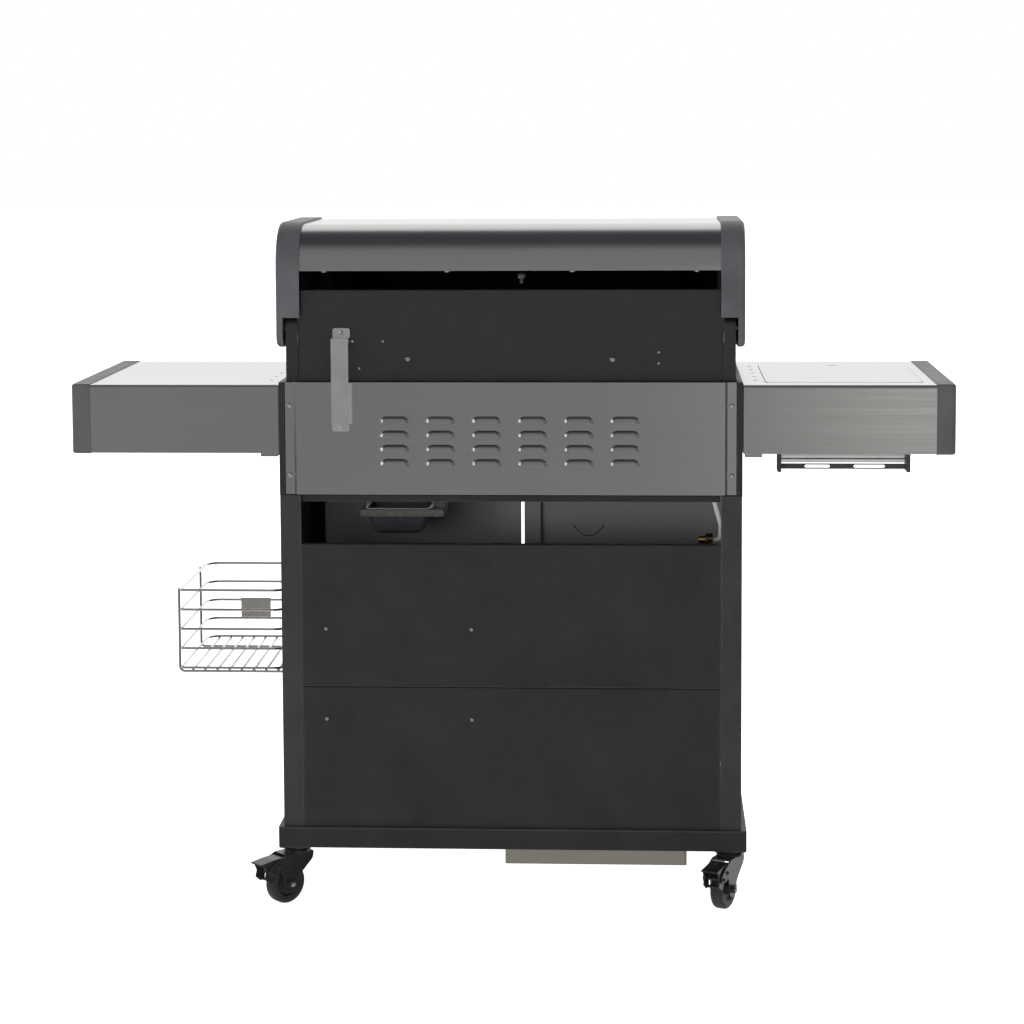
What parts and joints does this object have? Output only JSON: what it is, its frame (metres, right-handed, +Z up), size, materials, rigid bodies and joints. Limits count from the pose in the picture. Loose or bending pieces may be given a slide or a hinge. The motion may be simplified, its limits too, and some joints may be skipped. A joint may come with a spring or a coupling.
{
  "type": "gas barbecue grill",
  "caption": "Wheeled gas barbecue cart with hinged lid, louvred rear shield, two side shelves, flush side burner, wire basket and cabinet doors.",
  "frame": {"origin": "middle of the footprint on the floor, under the wheels", "axes": "+X to the cook's right, along the shelves; +Y towards the rear; +Z up"},
  "size_m": [1.473, 0.5711, 1.1515],
  "materials": {
    "powder_black": "satin fine-textured black powder coat",
    "panel_black": "matt fine-textured black powder coat",
    "upright_black": "matt black powder coat",
    "enamel_black": "gloss black enamel with a fine orange peel",
    "brushed_stainless": "horizontally brushed stainless steel",
    "burner_stainless": "plain rolled stainless steel",
    "polished_stainless": "polished stainless steel",
    "galvanised": "galvanised sheet",
    "cast_iron": "matt enamelled cast iron",
    "cast_black": "satin black painted die casting",
    "chrome_wire": "bright chromed wire",
    "brass": "machined brass",
    "cap_plastic": "satin black moulded plastic",
    "knob_plastic": "black moulded plastic",
    "wheel_black": "black castor tread",
    "castor_black": "gloss black e-coated steel",
    "pipe_grey": "pale grey coated pipe",
    "cup_enamel": "dark gloss enamel",
    "screw_zinc": "bright zinc plating"
  },
  "bodies": {
    "cart": {"base_tray": "powder_black", "bottle_well": "galvanised", "burner_tubes": "burner_stainless", "castor_plates": "castor_black", "control_panel": "brushed_stainless", "cook_box_brackets": "powder_black", "cooking_grates": "cast_iron", "firebox": "enamel_black", "flame_tamers": "burner_stainless", "frame_rails": "powder_black", "gas_inlet": "brass", "gas_manifold": "galvanised", "gas_pipes": "pipe_grey", "grease_cup_holder": "galvanised", "heat_shield": "brushed_stainless", "hinge_pins": "burner_stainless", "knob_bezels": "polished_stainless", "left_shelf": "brushed_stainless", "rear_burner": "burner_stainless", "rear_burner_tube_cover": "polished_stainless", "rear_panel_lower": "panel_black", "rear_panel_upper": "panel_black", "rear_wall": "enamel_black", "right_shelf": "brushed_stainless", "screws": "screw_zinc", "shelf_end_caps": "cap_plastic", "side_burner_bowl": "polished_stainless", "side_burner_bracket": "cast_black", "side_burner_grate": "cast_iron", "side_burner_head": "cast_iron", "side_panels": "upright_black", "warming_rack": "chrome_wire", "wire_basket": "chrome_wire"},
    "lid": {"lid_skin": "brushed_stainless", "lid_end_caps": "cast_black", "lid_handle": "brushed_stainless", "thermometer": "polished_stainless"},
    "right_door": {"right_door": "powder_black", "right_door_handle": "brushed_stainless"},
    "left_door": {"left_door": "powder_black", "left_door_handle": "brushed_stainless"},
    "grease_tray": {"grease_tray": "galvanised"},
    "grease_cup": {"grease_cup": "cup_enamel"},
    "side_burner_lid": {"side_burner_lid": "brushed_stainless"},
    "burner_1_knob": {"burner_1_knob": "knob_plastic"},
    "burner_2_knob": {"burner_2_knob": "knob_plastic"},
    "burner_3_knob": {"burner_3_knob": "knob_plastic"},
    "burner_4_knob": {"burner_4_knob": "knob_plastic"},
    "rear_burner_knob": {"rear_burner_knob": "knob_plastic"},
    "side_burner_knob": {"side_burner_knob": "knob_plastic"},
    "rear_right_castor_fork": {"rear_right_castor_fork": "castor_black"},
    "rear_right_castor_wheel": {"rear_right_castor_wheel": "wheel_black"},
    "rear_right_brake_pedal": {"rear_right_brake_pedal": "castor_black"},
    "rear_left_castor_fork": {"rear_left_castor_fork": "castor_black"},
    "rear_left_castor_wheel": {"rear_left_castor_wheel": "wheel_black"},
    "rear_left_brake_pedal": {"rear_left_brake_pedal": "castor_black"},
    "front_right_castor_fork": {"front_right_castor_fork": "castor_black"},
    "front_right_castor_wheel": {"front_right_castor_wheel": "wheel_black"},
    "front_left_castor_fork": {"front_left_castor_fork": "castor_black"},
    "front_left_castor_wheel": {"front_left_castor_wheel": "wheel_black"}
  },
  "joints": [
    {"name": "lid_hinge", "type": "hinge", "parent": "cart", "child": "lid", "pos_m": [0, 0.19144, 0.975], "axis": [-1, 0, 0], "range_deg": [0, 80]},
    {"name": "right_door_hinge", "type": "hinge", "parent": "cart", "child": "right_door", "pos_m": [0.376, -0.21656, 0.4], "axis": [0, 0, 1], "range_deg": [0, 110]},
    {"name": "left_door_hinge", "type": "hinge", "parent": "cart", "child": "left_door", "pos_m": [-0.376, -0.21656, 0.4], "axis": [0, 0, -1], "range_deg": [0, 110]},
    {"name": "grease_tray_slide", "type": "slide", "parent": "cart", "child": "grease_tray", "axis": [0, -1, 0], "range_m": [0, 0.34]},
    {"name": "grease_cup_lift", "type": "slide", "parent": "cart", "child": "grease_cup", "axis": [0, 0, 1], "range_m": [0, 0.022]},
    {"name": "side_burner_lid_hinge", "type": "hinge", "parent": "cart", "child": "side_burner_lid", "pos_m": [-0.556, 0.17744, 0.8801], "axis": [-1, 0, 0], "range_deg": [0, 95]},
    {"name": "burner_1_knob_turn", "type": "hinge", "parent": "cart", "child": "burner_1_knob", "pos_m": [-0.225, -0.25356, 0.81], "axis": [0, -1, 0], "range_deg": [0, 180]},
    {"name": "burner_2_knob_turn", "type": "hinge", "parent": "cart", "child": "burner_2_knob", "pos_m": [-0.075, -0.25356, 0.81], "axis": [0, -1, 0], "range_deg": [0, 180]},
    {"name": "burner_3_knob_turn", "type": "hinge", "parent": "cart", "child": "burner_3_knob", "pos_m": [0.075, -0.25356, 0.81], "axis": [0, -1, 0], "range_deg": [0, 180]},
    {"name": "burner_4_knob_turn", "type": "hinge", "parent": "cart", "child": "burner_4_knob", "pos_m": [0.225, -0.25356, 0.81], "axis": [0, -1, 0], "range_deg": [0, 180]},
    {"name": "rear_burner_knob_turn", "type": "hinge", "parent": "cart", "child": "rear_burner_knob", "pos_m": [0.322, -0.25356, 0.81], "axis": [0, -1, 0], "range_deg": [0, 180]},
    {"name": "side_burner_knob_turn", "type": "hinge", "parent": "cart", "child": "side_burner_knob", "pos_m": [-0.556, -0.22956, 0.825], "axis": [0, -1, 0], "range_deg": [0, 180]},
    {"name": "rear_right_castor_swivel", "type": "hinge", "parent": "cart", "child": "rear_right_castor_fork", "pos_m": [0.3667, 0.20144, 0.085], "axis": [0, 0, 1], "continuous": true},
    {"name": "rear_right_castor_roll", "type": "hinge", "parent": "rear_right_castor_fork", "child": "rear_right_castor_wheel", "pos_m": [0.3854, 0.21951, 0.035], "axis": [-0.6947, 0.7193, 0], "continuous": true},
    {"name": "rear_right_brake_press", "type": "hinge", "parent": "rear_right_castor_fork", "child": "rear_right_brake_pedal", "pos_m": [0.41346, 0.2466, 0.06], "axis": [-0.6947, 0.7193, 0], "range_deg": [0, 9]},
    {"name": "rear_left_castor_swivel", "type": "hinge", "parent": "cart", "child": "rear_left_castor_fork", "pos_m": [-0.3667, 0.20144, 0.085], "axis": [0, 0, 1], "continuous": true},
    {"name": "rear_left_castor_roll", "type": "hinge", "parent": "rear_left_castor_fork", "child": "rear_left_castor_wheel", "pos_m": [-0.35571, 0.22501, 0.035], "axis": [-0.9063, 0.4226, 0], "continuous": true},
    {"name": "rear_left_brake_press", "type": "hinge", "parent": "rear_left_castor_fork", "child": "rear_left_brake_pedal", "pos_m": [-0.33923, 0.26035, 0.06], "axis": [-0.9063, 0.4226, 0], "range_deg": [0, 9]},
    {"name": "front_right_castor_swivel", "type": "hinge", "parent": "cart", "child": "front_right_castor_fork", "pos_m": [0.3667, -0.19856, 0.085], "axis": [0, 0, 1], "continuous": true},
    {"name": "front_right_castor_roll", "type": "hinge", "parent": "front_right_castor_fork", "child": "front_right_castor_wheel", "pos_m": [0.34418, -0.18556, 0.035], "axis": [-0.5, -0.866, 0], "continuous": true},
    {"name": "front_left_castor_swivel", "type": "hinge", "parent": "cart", "child": "front_left_castor_fork", "pos_m": [-0.3667, -0.19856, 0.085], "axis": [0, 0, 1], "continuous": true},
    {"name": "front_left_castor_roll", "type": "hinge", "parent": "front_left_castor_fork", "child": "front_left_castor_wheel", "pos_m": [-0.34227, -0.18966, 0.035], "axis": [-0.342, 0.9397, 0], "continuous": true}
  ]
}
